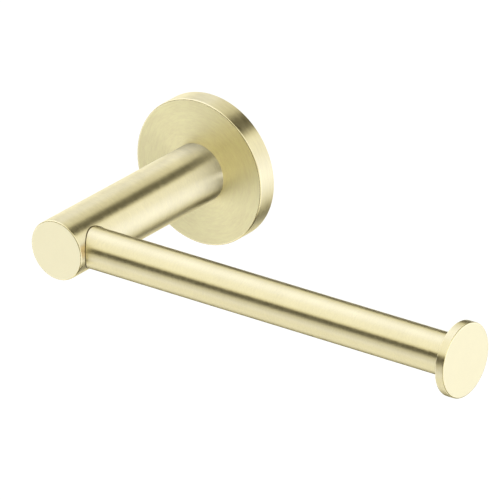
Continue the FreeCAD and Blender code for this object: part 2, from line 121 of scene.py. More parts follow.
def arc_points(before: np.ndarray, corner: np.ndarray, after: np.ndarray, size: float) -> np.ndarray:
    """The points of one corner of an outline, as a round that touches both of its straight sides.

    With u and v the unit vectors from the corner to its neighbours and w half the angle between them,
    the round starts size / tan(w) along u, its centre lies size / sin(w) along u + v, and its points
    swing evenly about that centre to size / tan(w) along v.

    Args:
        before: The outline's previous corner.
        corner: This corner.
        after: The next corner.
        size: Radius of the round, or 0 to leave the corner sharp.

    Returns:
        The points in order, one row each.
    """
    if size <= 0.0:
        return corner[None, :]
    u = (before - corner) / np.linalg.norm(before - corner)
    v = (after - corner) / np.linalg.norm(after - corner)
    half = 0.5 * math.acos(float(np.clip(u @ v, -1.0, 1.0)))
    middle = (u + v) / np.linalg.norm(u + v)
    centre = corner + middle * (size / math.sin(half))
    first = corner + u * (size / math.tan(half)) - centre
    last = corner + v * (size / math.tan(half)) - centre
    swing = math.pi - 2.0 * half
    steps = np.linspace(0.0, 1.0, max(2, math.ceil(swing / ARC_STEP)) + 1)[:, None]
    return centre + (np.sin((1.0 - steps) * swing) * first + np.sin(steps * swing) * last) / math.sin(swing)


def outline(corners: Sequence[Corner], closed: bool, longest: float) -> np.ndarray:
    """Carries an outline round its corners, with support points beside each one.

    Every straight stretch from a to b holds the points a + (b - a) * t, with t at the support distance
    from both ends and evenly between them, so that smooth shading stays flat on flat faces.

    Args:
        corners: The corners in order.
        closed: Whether the last corner joins the first.
        longest: The longest gap between points on a straight stretch.

    Returns:
        Rows of (radius, along).
    """
    points = [np.array([c.radius, c.along]) for c in corners]
    count = len(points)
    turns = []
    for i, corner in enumerate(corners):
        ends = not closed and i in (0, count - 1)
        size = 0.0 if ends else corner.round
        turns.append(arc_points(points[i - 1], points[i], points[(i + 1) % count], size))
    rows = [turns[0]]
    for i in range(1, count + int(closed)):
        start, stop = turns[i - 1][-1], turns[i % count][0]
        length = float(np.linalg.norm(stop - start))
        if length > 3.0 * SUPPORT:
            inner = np.linspace(SUPPORT, length - SUPPORT, max(2, math.ceil(length / longest) + 1))
            rows.append(start + (stop - start) * (inner / length)[:, None])
        if i < count:
            rows.append(turns[i])
    return np.concatenate(rows)


def turned_grid(lathe: Lathe, rows: np.ndarray, columns: int = AROUND) -> np.ndarray:
    """A surface of revolution: point (i, j) is row i of the outline at angle 2 pi j / columns.

    Args:
        lathe: The axis to turn about.
        rows: The outline's rows of (radius, along).
        columns: How many steps go round.

    Returns:
        An array of points, rows by columns by 3.
    """
    angle = np.linspace(0.0, 2.0 * math.pi, columns, endpoint=False)[None, :]
    radius = np.repeat(rows[:, :1], columns, axis=1)
    along = np.repeat(rows[:, 1:], columns, axis=1)
    return lathe.place(radius, along, np.repeat(angle, len(rows), axis=0))


def volume_sign(points: np.ndarray, faces: np.ndarray) -> float:
    """The sign of a closed mesh's volume: the sum of a . (b x c) over its triangles.

    Args:
        points: The vertices.
        faces: Rows of four vertex numbers, the last repeated for a triangle.

    Returns:
        +1 where the faces point outwards, -1 where they point inwards.
    """
    a, b, c, d = (points[faces[:, k]] for k in range(4))
    total = np.einsum("ij,ij->", a, np.cross(b, c)) + np.einsum("ij,ij->", a, np.cross(c, d))
    return 1.0 if total > 0.0 else -1.0


def grid_mesh(name: str, grid: np.ndarray, closed: bool) -> bpy.types.Object:
    """Makes an object of a grid that closes round its columns.

    Where the rows don't close, both ends are poles: their rows shrink to a point each, the mean of
    the row, and meet their neighbours in triangles. UV u is the distance walked along the outline and
    v the part of a turn, so that the tangent along u runs straight across the brushing.

    Args:
        name: The object's name.
        grid: Points, rows by columns by 3.
        closed: Whether the last row joins the first.

    Returns:
        The new object, at the origin.
    """
    count, columns = grid.shape[:2]
    walked = np.concatenate([[0.0], np.cumsum(np.linalg.norm(np.diff(grid[:, 0], axis=0), axis=1))])
    points = grid.reshape(-1, 3)
    column = np.arange(columns)
    following = (column + 1) % columns
    top = np.arange(count if closed else count - 1)[:, None]
    below = (top + 1) % count
    faces = np.stack(
        [
            top * columns + column,
            below * columns + column,
            below * columns + following,
            top * columns + following,
        ],
        axis=-1,
    ).reshape(-1, 4)
    u_top = np.broadcast_to(walked[top], (len(top), columns))
    ends = np.append(walked, walked[-1] + np.linalg.norm(grid[0, 0] - grid[-1, 0]))
    u_below = np.broadcast_to(ends[top + 1], (len(top), columns))
    v_left = np.broadcast_to(column / columns, (len(top), columns))
    v_right = v_left + 1.0 / columns
    uv = np.stack([u_top, v_left, u_below, v_left, u_below, v_right, u_top, v_right], axis=-1)
    uv = uv.reshape(-1, 4, 2)
    if not closed:
        points = points.copy()
        points[:columns] = points[:columns].mean(axis=0)
        points[-columns:] = points[-columns:].mean(axis=0)
        faces = np.where(faces < columns, 0, faces)
        faces = np.where(faces >= (count - 1) * columns, (count - 1) * columns, faces)
    if volume_sign(points, faces) < 0.0:
        faces, uv = faces[:, ::-1], uv[:, ::-1]
    return object_from_faces(name, points, faces, uv)


def object_from_faces(name: str, points: np.ndarray, faces: np.ndarray, uv: np.ndarray) -> bpy.types.Object:
    """Makes an object of quads, in which a repeated corner means a triangle, and drops unused points.

    Args:
        name: The object's name.
        points: The vertices.
        faces: Rows of four vertex numbers.
        uv: The corners' UV coordinates, in the same order.

    Returns:
        The new object, smooth shaded with its sharp corners marked.
    """
    keep = faces != np.roll(faces, 1, axis=1)
    used, renumbered = np.unique(faces, return_inverse=True)
    faces = renumbered.reshape(-1, 4)
    rings = [row[mask].tolist() for row, mask in zip(faces, keep)]
    mesh = bpy.data.meshes.new(name)
    mesh.from_pydata(points[used].tolist(), [], rings)
    layer = mesh.uv_layers.new(name=BRUSHING)
    layer.data.foreach_set("uv", uv[keep].astype(np.float32).ravel())
    mesh.validate()
    piece = bpy.data.objects.new(name, mesh)
    bpy.context.scene.collection.objects.link(piece)
    soften(mesh)
    return piece


def soften(mesh: bpy.types.Mesh) -> None:
    """Shades a mesh smooth and marks the edges that turn by more than the sharp angle."""
    mesh.polygons.foreach_set("use_smooth", np.ones(len(mesh.polygons), dtype=bool))
    mesh.set_sharp_from_angle(angle=SHARP_ANGLE)


@dataclass(frozen=True)
class Bore:
    """A round hole to be cut: its mouth, its direction, radius, depth and the drill point's length."""

    mouth: Vector
    direction: Vector
    radius: float
    depth: float
    point: float = 0.0

    def cutter(self, columns: int = 96) -> bpy.types.Object:
        """Makes the drill: a turned bar that starts outside the mouth and ends in a cone or a flat.

        Args:
            columns: How many steps go round.

        Returns:
            The drill as an object.
        """
        direction = self.direction.normalized()
        lathe = Lathe(self.mouth, direction, direction.orthogonal().normalized())
        run_in = -0.5 * self.radius
        corners = [Corner(0.0, run_in), Corner(self.radius, run_in), Corner(self.radius, self.depth)]
        corners.append(Corner(0.0, self.depth + self.point))
        rows = outline(corners, False, 10.0 * self.radius)
        return grid_mesh("drill", turned_grid(lathe, rows, columns), False)


def drilled(piece: bpy.types.Object, bores: Sequence[Bore]) -> bpy.types.Object:
    """Cuts round holes in a piece and keeps the result as its own mesh.

    Args:
        piece: The piece to be cut.
        bores: The holes.

    Returns:
        The same object, with no modifiers left.
    """
    cutters = [bore.cutter() for bore in bores]
    for cutter in cutters:
        cut = piece.modifiers.new("bore", "BOOLEAN")
        cut.operation = "DIFFERENCE"
        cut.solver = "EXACT"
        cut.object = cutter
    bpy.context.view_layer.update()
    cut_mesh = bpy.data.meshes.new_from_object(piece.evaluated_get(bpy.context.evaluated_depsgraph_get()))
    piece.modifiers.clear()
    piece.data = cut_mesh
    for cutter in cutters:
        bpy.data.objects.remove(cutter)
    soften(cut_mesh)
    return piece


# ---------------------------------------------------------------------------------------------------
# Node trees
# ---------------------------------------------------------------------------------------------------


class Signal:
    """A number on its way through a node tree. Arithmetic on it adds Math nodes."""

    def __init__(self, nodes: "Nodes", socket: bpy.types.NodeSocket) -> None:
        """Wraps an output socket."""
        self.nodes = nodes
        self.socket = socket

    def math(self, operation: str, *operands: "Feed", first: Optional["Feed"] = None) -> "Signal":
        """Adds one Math node.

        Args:
            operation: The node's operation.
            operands: What follows this signal, or follows first where it is given.
            first: Takes this signal's place as the first operand, and the signal comes after it.

        Returns:
            The node's result.
        """
        feeds = [self, *operands] if first is None else [first, self, *operands]
        node = self.nodes.add("ShaderNodeMath", {"operation": operation}, dict(enumerate(feeds)))
        return Signal(self.nodes, node.outputs[0])

    def __add__(self, other: "Feed") -> "Signal":
        """This signal plus other."""
        return self.math("ADD", other)

    def __radd__(self, other: "Feed") -> "Signal":
        """Other plus this signal."""
        return self.math("ADD", other)

    def __sub__(self, other: "Feed") -> "Signal":
        """This signal minus other."""
        return self.math("SUBTRACT", other)

    def __rsub__(self, other: "Feed") -> "Signal":
        """Other minus this signal."""
        return self.math("SUBTRACT", first=other)

    def __mul__(self, other: "Feed") -> "Signal":
        """This signal times other."""
        return self.math("MULTIPLY", other)

    def __rmul__(self, other: "Feed") -> "Signal":
        """Other times this signal."""
        return self.math("MULTIPLY", other)

    def __truediv__(self, other: "Feed") -> "Signal":
        """This signal divided by other."""
        return self.math("DIVIDE", other)

    def __pow__(self, other: "Feed") -> "Signal":
        """This signal raised to other."""
        return self.math("POWER", other)

    def __abs__(self) -> "Signal":
        """This signal without its sign."""
        return self.math("ABSOLUTE")

    def ease(self, start: float, stop: float) -> "Signal":
        """Rises smoothly from 0 at start to 1 at stop, and stays flat beyond them.

        Args:
            start: Where the rise begins.
            stop: Where it ends.

        Returns:
            The eased signal.
        """
        sockets = {"Value": self, "From Min": start, "From Max": stop, "To Min": 0.0, "To Max": 1.0}
        node = self.nodes.add("ShaderNodeMapRange", {"interpolation_type": "SMOOTHSTEP"}, sockets)
        return Signal(self.nodes, node.outputs["Result"])


Feed = Union[Signal, bpy.types.NodeSocket, float, int, Sequence[float]]


class Nodes:
    """A node tree under construction."""

    def __init__(self, tree: bpy.types.NodeTree) -> None:
        """Empties the tree."""
        self.tree = tree
        tree.nodes.clear()

    def add(
        self,
        kind: str,
        settings: Optional[Mapping[str, Any]] = None,
        sockets: Optional[Mapping[Union[str, int], Feed]] = None,
    ) -> bpy.types.Node:
        """Adds a node, sets it up, then gives its sockets their values or links.

        Args:
            kind: The node's type.
            settings: The node's own properties, set before its sockets.
            sockets: What each input socket gets, by name or number.

        Returns:
            The new node.
        """
        node = self.tree.nodes.new(kind)
        for name, value in (settings or {}).items():
            setattr(node, name, value)
        for name, value in (sockets or {}).items():
            if isinstance(value, Signal):
                self.tree.links.new(value.socket, node.inputs[name])
            elif isinstance(value, bpy.types.NodeSocket):
                self.tree.links.new(value, node.inputs[name])
            else:
                node.inputs[name].default_value = value
        return node

    def signal(self, node: bpy.types.Node, output: Union[str, int] = 0) -> Signal:
        """One of a node's outputs as a signal."""
        return Signal(self, node.outputs[output])

    def split(self, vector: bpy.types.NodeSocket) -> tuple[Signal, Signal, Signal]:
        """A vector's three parts as signals."""
        parts = self.add("ShaderNodeSeparateXYZ", None, {0: vector})
        return self.signal(parts, 0), self.signal(parts, 1), self.signal(parts, 2)

    def join(self, x: Feed, y: Feed, z: Feed) -> bpy.types.NodeSocket:
        """A vector made of three numbers."""
        return self.add("ShaderNodeCombineXYZ", None, {0: x, 1: y, 2: z}).outputs[0]

    def blend(self, share: Feed, first: Feed, second: Feed) -> bpy.types.NodeSocket:
        """Goes from the first colour to the second as share goes from 0 to 1.

        Args:
            share: How much of the second colour shows.
            first: The colour at 0.
            second: The colour at 1.

        Returns:
            The mixed colour.
        """
        sockets = {0: share, 6: first, 7: second}
        node = self.add("ShaderNodeMix", {"data_type": "RGBA", "clamp_factor": True}, sockets)
        return node.outputs[2]

    def noise(self, vector: Feed, scale: float, detail: float, along: Optional[Feed] = None) -> Signal:
        """Cloudy noise between 0 and 1.

        Args:
            vector: Where in the noise each point reads.
            scale: How many lumps there are to a unit.
            detail: How many finer layers are added.
            along: A fourth coordinate, left out for plain noise.

        Returns:
            The noise's value.
        """
        sockets: dict[Union[str, int], Feed] = {"Vector": vector, "Scale": scale, "Detail": detail}
        if along is not None:
            sockets["W"] = along
        settings = {"noise_dimensions": "3D" if along is None else "4D"}
        return self.signal(self.add("ShaderNodeTexNoise", settings, sockets), 0)


def new_material(name: str) -> tuple[bpy.types.Material, Nodes]:
    """Makes a material whose node tree is empty.

    Args:
        name: The material's name.

    Returns:
        The material, and its tree ready for nodes.
    """
    material = bpy.data.materials.new(name)
    material.use_nodes = True
    return material, Nodes(material.node_tree)


def tinted(colour: Sequence[float], by: float) -> tuple[float, float, float, float]:
    """A colour with each part multiplied by a number, and alpha 1."""
    red, green, blue = (min(1.0, part * by) for part in colour)
    return red, green, blue, 1.0


# ---------------------------------------------------------------------------------------------------
# Finishes
# ---------------------------------------------------------------------------------------------------


class Turning(Enum):
    """Which axis a finish's marks run round."""

    POST = "post"
    ARM = "arm"


@dataclass(frozen=True)
class TurnedPlace:
    """Where a turned finish reads its pattern: the axis that its marks run round."""

    turning: Turning
    post_x: float
    arm_y: float

    def read(self, nodes: Nodes) -> tuple[Signal, Signal, Signal, Signal]:
        """Gives each point's place on the lathe.

        Args:
            nodes: The tree that reads it.

        Returns:
            The two parts of the direction from the axis, the radius and the place along the axis.
        """
        x, y, z = nodes.split(nodes.add("ShaderNodeTexCoord").outputs["Object"])
        if self.turning is Turning.POST:
            across, along = x - self.post_x, y
        else:
            across, along = y - self.arm_y, x
        radius = (across * across + z * z).math("SQRT")
        return across / radius, z / radius, radius, along


@dataclass(frozen=True)
class SeamShadow:
    """A thin line of painted shadow that a finish shows where another round bar meets the surface."""

    bar: Turning
    radius: float
    width: float
    side: float = 0.0


@dataclass(frozen=True)
class BrushedGold:
    """Light gold metal, brushed in fine rings round its axis, so that gloss spreads along the axis."""

    colour: tuple[float, float, float] = (0.96, 0.87, 0.57)
    roughness: float = 0.35
    roughness_swing: float = 0.13
    anisotropy: float = 0.94
    ring_gap: float = 0.8 * MM
    hair_gap: float = 0.3 * MM
    ring_length: float = 0.22
    brush_depth: float = 0.03 * MM
    # Colour of the painted shadow line where another bar meets this surface.
    seam_shade: tuple[float, float, float] = (0.1, 0.07, 0.02)
    dull: float = 0.9
    bright: float = 1.05

    def material(
        self, name: str, place: TurnedPlace, seam_shadow: Optional[SeamShadow] = None
    ) -> bpy.types.Material:
        """Makes the finish for one axis.

        Rings are four-dimensional noise, read at the direction from the axis, the radius and the
        place along the axis, with the last two stretched, so a mark is long round the axis and
        narrow across it.

        Args:
            name: The material's name.
            place: The axis that the marks run round.
            seam_shadow: A line of painted shadow where another bar meets this surface, if there is one.

        Returns:
            The finished material.
        """
        material, nodes = new_material(name)
        side, up, radius, along = place.read(nodes)
        spread = 1.0 / self.ring_length
        rings = nodes.noise(
            nodes.join(side * spread, up * spread, radius / self.ring_gap), 1.0, 3.0, along / self.ring_gap
        )
        hairs = nodes.noise(
            nodes.join(side * (3.0 * spread), up * (3.0 * spread), radius / self.hair_gap),
            1.0,
            1.0,
            along / self.hair_gap,
        )
        cloud = nodes.noise(nodes.add("ShaderNodeTexCoord").outputs["Object"], 1.0 / (9.0 * MM), 2.0)
        grain = rings * 0.6 + hairs * 0.4
        tone = grain.ease(0.3, 0.7) * 0.7 + cloud.ease(0.3, 0.7) * 0.3
        colour: Feed = nodes.blend(tone, tinted(self.colour, self.dull), tinted(self.colour, self.bright))
        # Painted contact shadow where another bar meets this surface.
        if seam_shadow is not None:
            colour = self.paint_seam_shadow(nodes, colour, seam_shadow, place)
        roughness = self.roughness + (grain - 0.5) * (2.0 * self.roughness_swing)
        bump = nodes.add(
            "ShaderNodeBump", None, {"Strength": 1.0, "Distance": self.brush_depth, "Height": grain}
        )
        tangent = nodes.add("ShaderNodeTangent", {"direction_type": "UV_MAP", "uv_map": BRUSHING})
        shader = nodes.add(
            "ShaderNodeBsdfPrincipled",
            None,
            {
                "Base Color": colour,
                "Metallic": 1.0,
                "Roughness": roughness,
                "Anisotropic": self.anisotropy,
                "Anisotropic Rotation": 0.0,
                "Tangent": tangent.outputs[0],
                "Normal": bump.outputs[0],
            },
        )
        nodes.add("ShaderNodeOutputMaterial", None, {"Surface": shader.outputs[0]})
        return material

    def paint_seam_shadow(self, nodes: Nodes, colour: Feed, seam_shadow: SeamShadow, place: TurnedPlace) -> Feed:
        """Paints shade: darkens a thin line where the surface comes close to another bar's skin, as a
        contact shadow.

        Args:
            nodes: The material's tree.
            colour: The colour away from the line.
            seam_shadow: The line.
            place: Knows where the bars' axes lie.

        Returns:
            The colour with the line on it.
        """
        x, y, z = nodes.split(nodes.add("ShaderNodeTexCoord").outputs["Object"])
        across = x - place.post_x if seam_shadow.bar is Turning.POST else y - place.arm_y
        off = abs((across * across + z * z).math("SQRT") - seam_shadow.radius)
        # Painted contact shadow: nearly black within the width of the other bar's skin, fading out beyond
        # it.
        shade = 1.0 - off.ease(0.4 * seam_shadow.width, seam_shadow.width)
        if seam_shadow.side > 0.0:
            shade = shade * x.ease(0.0, seam_shadow.side)
        return nodes.blend(shade, colour, (*self.seam_shade, 1.0))


@dataclass(frozen=True)
class FacedGold:
    """The same gold on a flat end face, satin in every direction with hardly visible facing marks."""

    colour: tuple[float, float, float] = (0.98, 0.91, 0.63)
    roughness: float = 0.4
    mark_gap: float = 0.3 * MM
    mark_depth: float = 0.0015 * MM

    def material(self, name: str, place: TurnedPlace) -> bpy.types.Material:
        """Makes the finish for one axis: rings of noise in the radius, and a soft cloud over them.

        Args:
            name: The material's name.
            place: The axis that the facing marks run round.

        Returns:
            The finished material.
        """
        material, nodes = new_material(name)
        side, up, radius, _ = place.read(nodes)
        marks = nodes.noise(nodes.join(side * 2.0, up * 2.0, radius / self.mark_gap), 1.0, 3.0)
        cloud = nodes.noise(nodes.add("ShaderNodeTexCoord").outputs["Object"], 1.0 / (5.0 * MM), 2.0)
        tone = marks.ease(0.3, 0.7) * 0.6 + cloud.ease(0.3, 0.7) * 0.4
        colour = nodes.blend(tone, tinted(self.colour, 0.985), tinted(self.colour, 1.01))
        bump = nodes.add(
            "ShaderNodeBump", None, {"Strength": 1.0, "Distance": self.mark_depth, "Height": marks}
        )
        shader = nodes.add(
            "ShaderNodeBsdfPrincipled",
            None,
            {
                "Base Color": colour,
                "Metallic": 1.0,
                "Roughness": self.roughness + (marks - 0.5) * 0.06,
                "Normal": bump.outputs[0],
            },
        )
        nodes.add("ShaderNodeOutputMaterial", None, {"Surface": shader.outputs[0]})
        return material


@dataclass(frozen=True)
class GoldSet:
    """The golds of one piece: brushed on its sides and its rose face, satin on its end, bright edges."""

    sides: BrushedGold = BrushedGold()
    plate: BrushedGold = BrushedGold(
        colour=(0.99, 0.9, 0.57), roughness=0.5, anisotropy=0.62, roughness_swing=0.03
    )
    end: FacedGold = FacedGold()
    edges: BrushedGold = BrushedGold(roughness=0.24, anisotropy=0.2, roughness_swing=0.02)


@dataclass(frozen=True)
class StampedSteel:
    """Rolled stainless plate, with straight rolling lines, faint smears and satin gloss."""

    colour: tuple[float, float, float] = (0.62, 0.61, 0.59)
    roughness: float = 0.34
    line_gap: float = 0.25 * MM
    line_length: float = 14.0 * MM

    def material(self, name: str) -> bpy.types.Material:
        """Makes the finish: noise stretched along X for the lines, and plain noise for the smears.

        Args:
            name: The material's name.

        Returns:
            The finished material.
        """
        material, nodes = new_material(name)
        x, y, z = nodes.split(nodes.add("ShaderNodeTexCoord").outputs["Object"])
        lines = nodes.noise(
            nodes.join(x / self.line_length, y / self.line_gap, z / self.line_gap), 1.0, 4.0
        )
        smears = nodes.noise(nodes.add("ShaderNodeTexCoord").outputs["Object"], 1.0 / (6.0 * MM), 3.0)
        tone = lines.ease(0.25, 0.75) * 0.6 + smears.ease(0.35, 0.7) * 0.4
        colour = nodes.blend(tone, tinted(self.colour, 0.8), tinted(self.colour, 1.12))
        bump = nodes.add(
            "ShaderNodeBump", None, {"Strength": 1.0, "Distance": 0.004 * MM, "Height": lines}
        )
        shader = nodes.add(
            "ShaderNodeBsdfPrincipled",
            None,
            {
                "Base Color": colour,
                "Metallic": 1.0,
                "Roughness": self.roughness + (smears - 0.5) * 0.2,
                "Normal": bump.outputs[0],
            },
        )
        nodes.add("ShaderNodeOutputMaterial", None, {"Surface": shader.outputs[0]})
        return material


@dataclass(frozen=True)
class Thread:
    """A rolled thread on a bar: the bar's axis, the nominal radius, the pitch and where it runs."""

    centre: Vector
    direction: Vector
    radius: float
    pitch: float
    runs: tuple[tuple[float, float], ...]


@dataclass(frozen=True)
class PlatedSteel:
    """Zinc-plated fastener steel: cool grey, lightly mottled, with rolled threads where there are any."""

    colour: tuple[float, float, float] = (0.56, 0.57, 0.58)
    roughness: float = 0.3
    mottle: float = 1.6 * MM

    def material(self, name: str, thread: Optional[Thread] = None) -> bpy.types.Material:
        """Makes the finish.

        The thread's height is a triangle wave of place / pitch plus the part of a turn round the
        axis, which winds it into a helix, on the bar's skin only and inside its runs only.

        Args:
            name: The material's name.
            thread: The thread, for a threaded piece.

        Returns:
            The finished material.
        """
        material, nodes = new_material(name)
        spot = nodes.add("ShaderNodeTexCoord").outputs["Object"]
        mottle = nodes.noise(spot, 1.0 / self.mottle, 4.0)
        fine = nodes.noise(spot, 8.0 / self.mottle, 2.0)
        tone = mottle.ease(0.3, 0.7) * 0.7 + fine.ease(0.3, 0.7) * 0.3
        height = fine * 0.04
        colour: Feed = nodes.blend(tone, tinted(self.colour, 0.82), tinted(self.colour, 1.1))
        if thread is not None:
            groove = self.thread_height(nodes, thread)
            height = height + groove
            # Painted shade: the colour goes darker in the thread's roots, on top of the bump.
            colour = nodes.blend((1.0 - groove) * 0.45, colour, tinted(self.colour, 0.3))
        depth = 0.3 * thread.pitch if thread is not None else 0.05 * MM
        bump = nodes.add("ShaderNodeBump", None, {"Strength": 1.0, "Distance": depth, "Height": height})
        shader = nodes.add(
            "ShaderNodeBsdfPrincipled",
            None,
            {
                "Base Color": colour,
                "Metallic": 1.0,
                "Roughness": self.roughness + (mottle - 0.5) * 0.18,
                "Normal": bump.outputs[0],
            },
        )
        nodes.add("ShaderNodeOutputMaterial", None, {"Surface": shader.outputs[0]})
        return material

    def thread_height(self, nodes: Nodes, thread: Thread) -> Signal:
        """The thread's height between 0 in its root and 1 on its crest and away from it.

        Args:
            nodes: The material's tree.
            thread: The thread.

        Returns:
            The height.
        """
        parts = nodes.split(nodes.add("ShaderNodeTexCoord").outputs["Object"])
        main = max(range(3), key=lambda k: abs(thread.direction[k]))
        first, second = [k for k in range(3) if k != main]
        across, over = parts[first] - thread.centre[first], parts[second] - thread.centre[second]
        radius = (across * across + over * over).math("SQRT")
        turn = across.math("ARCTAN2", over) / (2.0 * math.pi)
        wave = (parts[main] / thread.pitch + turn).math("PINGPONG", 0.5) * 2.0
        skin = radius.ease(0.93 * thread.radius, 0.98 * thread.radius)
        inside = None
        for start, stop in thread.runs:
            soft = 0.4 * thread.pitch
            run = parts[main].ease(start, start + soft) * (1.0 - parts[main].ease(stop - soft, stop))
            inside = run if inside is None else inside.math("MAXIMUM", run)
        return 1.0 - (1.0 - wave) * skin * inside


@dataclass(frozen=True)
class TurnedBrass:
    """Machined brass: deep yellow, with fine tool rings round its axis."""

    colour: tuple[float, float, float] = (0.78, 0.55, 0.22)
    roughness: float = 0.24
    ring_gap: float = 0.16 * MM

    def material(self, name: str, place: TurnedPlace) -> bpy.types.Material:
        """Makes the finish: a cosine of the walk across the tool's rings, broken up by noise.

        Args:
            name: The material's name.
            place: The axis that the rings run round.

        Returns:
            The finished material.
        """
        material, nodes = new_material(name)
        _, _, radius, along = place.read(nodes)
        stain = nodes.noise(nodes.add("ShaderNodeTexCoord").outputs["Object"], 1.0 / (2.5 * MM), 3.0)
        walk = (radius + along) / self.ring_gap + stain
        rings = (walk * (2.0 * math.pi)).math("COSINE") * 0.5 + 0.5
        tone = rings * 0.5 + stain.ease(0.3, 0.7) * 0.5
        colour = nodes.blend(tone, tinted(self.colour, 0.75), tinted(self.colour, 1.08))
        bump = nodes.add(
            "ShaderNodeBump", None, {"Strength": 1.0, "Distance": 0.006 * MM, "Height": rings}
        )
        shader = nodes.add(
            "ShaderNodeBsdfPrincipled",
            None,
            {
                "Base Color": colour,
                "Metallic": 1.0,
                "Roughness": self.roughness + (stain - 0.5) * 0.16,
                "Normal": bump.outputs[0],
            },
        )
        nodes.add("ShaderNodeOutputMaterial", None, {"Surface": shader.outputs[0]})
        return material


# ---------------------------------------------------------------------------------------------------
# Pieces
# ---------------------------------------------------------------------------------------------------


def dress(piece: bpy.types.Object, *materials: bpy.types.Material) -> None:
    """Gives an object these materials in order, and reports it.

    Args:
        piece: The object.
        materials: Its materials, the first for faces that are given no other.
    """
    slots = piece.data.materials
    for number, material in enumerate(materials):
        if number < len(slots):
            slots[number] = material
        else:
            slots.append(material)
    names = ", ".join(material.name for material in materials)
    LOG.info("%s: %d faces, %s", piece.name, len(piece.data.polygons), names)


def stand_for(piece: bpy.types.Object, node: str) -> bpy.types.Object:
    """Puts a gold piece in a CAD node's place, on the fixed body.

    Args:
        piece: The gold piece.
        node: The CAD node that it stands for.

    Returns:
        The same piece.
    """
    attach(piece, BODY)
    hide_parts(node)
    return piece


def sort_faces(piece: bpy.types.Object, lathe: Lathe, front: float, radius: float, edge: float) -> None:
    """Gives each face of a turned piece its finish: 0 on the sides, 1 on the flat front, 2 on the rounds.

    Args:
        piece: The piece.
        lathe: Its axis, which points out of the front.
        front: The front's place along the axis.
        radius: The piece's outer radius.
        edge: The size of the rounds at the outer radius.
    """
    polygons = piece.data.polygons
    normals = np.empty(3 * len(polygons), dtype=np.float32)
    middles = np.empty(3 * len(polygons), dtype=np.float32)
    polygons.foreach_get("normal", normals)
    polygons.foreach_get("center", middles)
    axis = np.array(lathe.axis)
    lean = normals.reshape(-1, 3) @ axis
    place = middles.reshape(-1, 3) - np.array(lathe.origin)
    along = place @ axis
    away = np.linalg.norm(place - np.outer(along, axis), axis=1)
    flat = (lean > 0.9999) & (np.abs(along - front) < 0.01 * MM)
    rounds = (np.abs(lean) > 0.02) & (np.abs(lean) < 0.9999) & (away > radius - 1.2 * edge)
    polygons.foreach_set("material_index", flat.astype(np.int32) + 2 * rounds.astype(np.int32))
    piece.data.update()


@dataclass
class WallPlate:
    """The rose with the bracket that it drops over and the set screw that holds it."""

    place: TurnedPlace
    gold: GoldSet
    rim_wall: float = 3.0 * MM
    face_wall: float = 2.75 * MM
    front_round: float = 0.5 * MM
    back_chamfer: float = 0.25 * MM
    screw_hole: float = 2.75 * MM
    set_screw_pitch: float = 0.7 * MM
    dowel_length_in_rose: float = 2.0 * MM

    def __post_init__(self) -> None:
        """Reads the rose's size and its small parts' places from the frame."""
        low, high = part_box("rose")
        self.radius = (high.x - low.x) / 2.0
        self.front = -low.y
        self.screw_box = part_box("rose_set_screw")
        self.dowel_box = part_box("post_dowel")

    def rose(self) -> bpy.types.Object:
        """Makes the rose: a turned cup, drilled for the set screw and the dowel.

        Returns:
            The finished object.
        """
        lathe = Lathe(Vector((0.0, 0.0, 0.0)), Vector((0.0, -1.0, 0.0)), Vector((0.0, 0.0, 1.0)))
        bore = self.radius - self.rim_wall
        floor = self.front - self.face_wall
        corners = [
            Corner(self.screw_hole, floor),
            Corner(self.screw_hole, self.front),
            Corner(self.radius, self.front, self.front_round),
            Corner(self.radius, self.back_chamfer),
            Corner(self.radius - self.back_chamfer, 0.0),
            Corner(bore, 0.0),
            Corner(bore, floor),
        ]
        rows = outline(corners, True, 2.0 * MM)
        piece = grid_mesh("rose_shell", turned_grid(lathe, rows), True)
        low, high = self.screw_box
        radius = (high.x - low.x) / 2.0
        mouth = Vector(((low.x + high.x) / 2.0, (low.y + high.y) / 2.0, -self.radius))
        set_screw = Bore(mouth, Vector((0.0, 0.0, 1.0)), radius, 1.8 * self.rim_wall)
        low, high = self.dowel_box
        dowel_radius = (high.x - low.x) / 2.0
        mouth = Vector((0.0, -self.front, (low.z + high.z) / 2.0))
        dowel = Bore(mouth, Vector((0.0, 1.0, 0.0)), dowel_radius, self.dowel_length_in_rose)
        drilled(piece, [set_screw, dowel])
        sort_faces(piece, lathe, self.front, self.radius, self.front_round)
        return piece

    def build(self) -> None:
        """Builds and dresses the rose, then dresses the bracket and the set screw."""
        rose = stand_for(self.rose(), "rose")
        dress(
            rose,
            self.gold.sides.material("gold_rose_rim", self.place),
            self.gold.plate.material("gold_rose_face", self.place),
            self.gold.edges.material("gold_rose_edge", self.place),
        )
        rose.visible_glossy = False
        dress(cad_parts["wall_bracket"], StampedSteel().material("steel_bracket"))
        low, high = self.screw_box
        middle = (low + high) / 2.0
        thread = Thread(
            middle, Vector((0.0, 0.0, 1.0)), (high.x - low.x) / 2.0, self.set_screw_pitch, ((low.z, high.z),)
        )
        dress(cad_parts["rose_set_screw"], PlatedSteel().material("steel_set_screw", thread))


